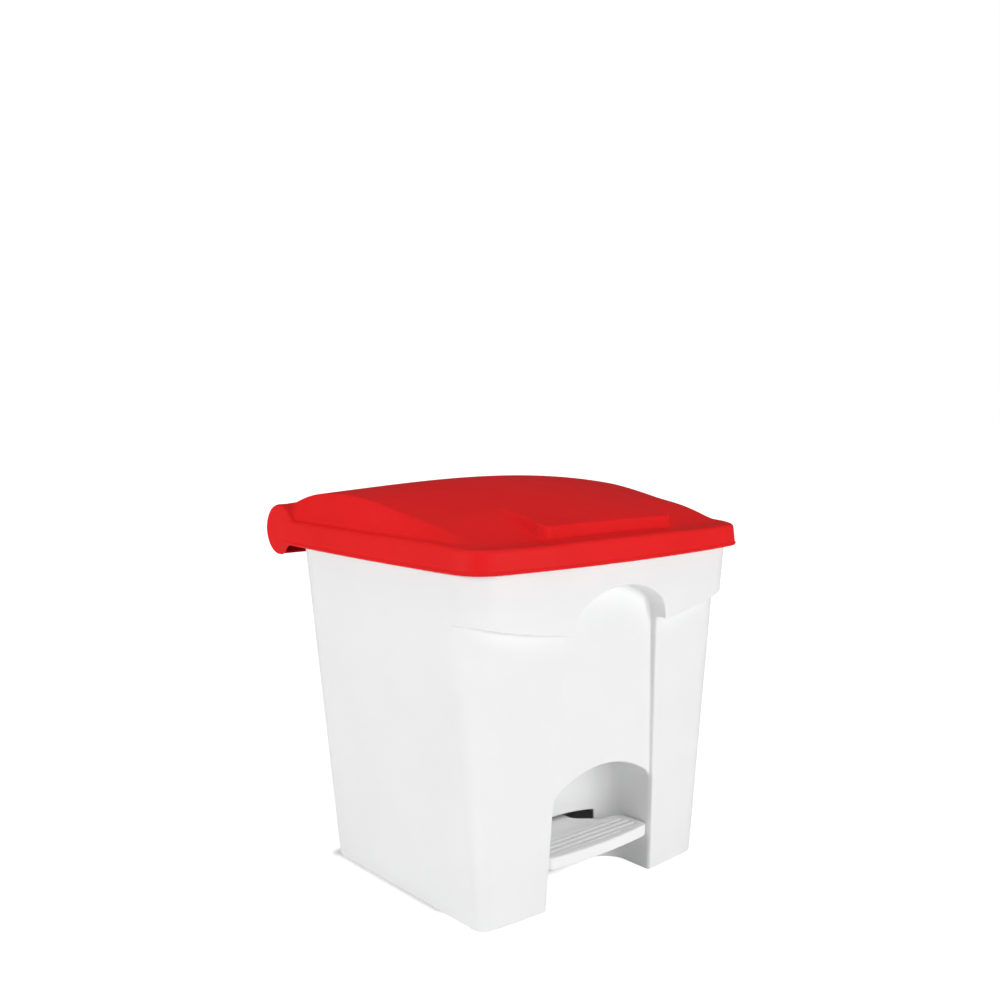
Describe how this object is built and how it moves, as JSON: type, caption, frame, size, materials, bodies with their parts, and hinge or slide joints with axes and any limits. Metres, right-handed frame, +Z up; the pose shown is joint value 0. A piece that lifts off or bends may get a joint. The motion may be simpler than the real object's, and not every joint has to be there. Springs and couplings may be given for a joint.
{
  "type": "pedal bin",
  "caption": "Plastic pedal bin with a tapered white tub, a red domed lid hinged at the back, and a front pedal whose lever and push rod lift the lid",
  "frame": {"origin": "on the floor, at the bottom centre of the bounding box of the closed bin", "axes": "+Z up; +Y towards the back, so the pedal side faces -Y; +X to the right seen from the front"},
  "size_m": [0.41, 0.398, 0.4324],
  "materials": {
    "white_plastic": "white polypropylene, satin",
    "red_plastic": "red polypropylene, satin",
    "pedal_plastic": "light grey-white polypropylene, ridged",
    "grey_nylon": "grey nylon",
    "plated_steel": "zinc plated steel",
    "rubber": "black rubber"
  },
  "bodies": {
    "tub": {"bin_body": "white_plastic", "pivot_axle": "plated_steel", "pivot_bracket_left": "plated_steel", "pivot_bracket_right": "plated_steel", "axle_spacer_left": "grey_nylon", "axle_spacer_right": "grey_nylon", "axle_clip_left": "plated_steel", "axle_clip_right": "plated_steel", "hinge_pin_left": "plated_steel", "hinge_pin_right": "plated_steel", "bracket_screw_1": "plated_steel", "bracket_screw_2": "plated_steel", "bracket_screw_3": "plated_steel", "bracket_screw_4": "plated_steel", "rod_guide_upper": "grey_nylon", "rod_guide_lower": "grey_nylon", "guide_screw_upper_left": "plated_steel", "guide_screw_upper_right": "plated_steel", "guide_screw_lower_left": "plated_steel", "guide_screw_lower_right": "plated_steel", "foot_front_left": "rubber", "foot_front_right": "rubber", "foot_rear_left": "rubber", "foot_rear_right": "rubber"},
    "lid": {"lid": "red_plastic", "lid_buffer_left": "rubber", "lid_buffer_right": "rubber"},
    "pedal_lever": {"pedal": "pedal_plastic", "pedal_lever": "plated_steel", "pedal_screw_1": "plated_steel", "pedal_screw_2": "plated_steel"},
    "push_rod": {"rod_cap": "grey_nylon", "push_rod": "plated_steel", "rod_foot": "grey_nylon"}
  },
  "joints": [
    {"name": "lid_hinge", "type": "hinge", "parent": "tub", "child": "lid", "pos_m": [0, 0.17, 0.372], "axis": [-1, 0, 0], "range_deg": [0, 75]},
    {"name": "pedal_pivot", "type": "hinge", "parent": "tub", "child": "pedal_lever", "pos_m": [0, -0.033, 0.0365], "axis": [1, 0, 0], "range_deg": [0, 16]},
    {"name": "push_rod_slide", "type": "slide", "parent": "tub", "child": "push_rod", "axis": [0, 0.0708, 0.9975], "range_m": [0, 0.0413]}
  ],
  "couplings": [
    {"joint": "pedal_pivot", "follows": "lid_hinge", "ratio": 0.2133},
    {"joint": "push_rod_slide", "follows": "lid_hinge", "m_per_rad": 0.03155}
  ]
}
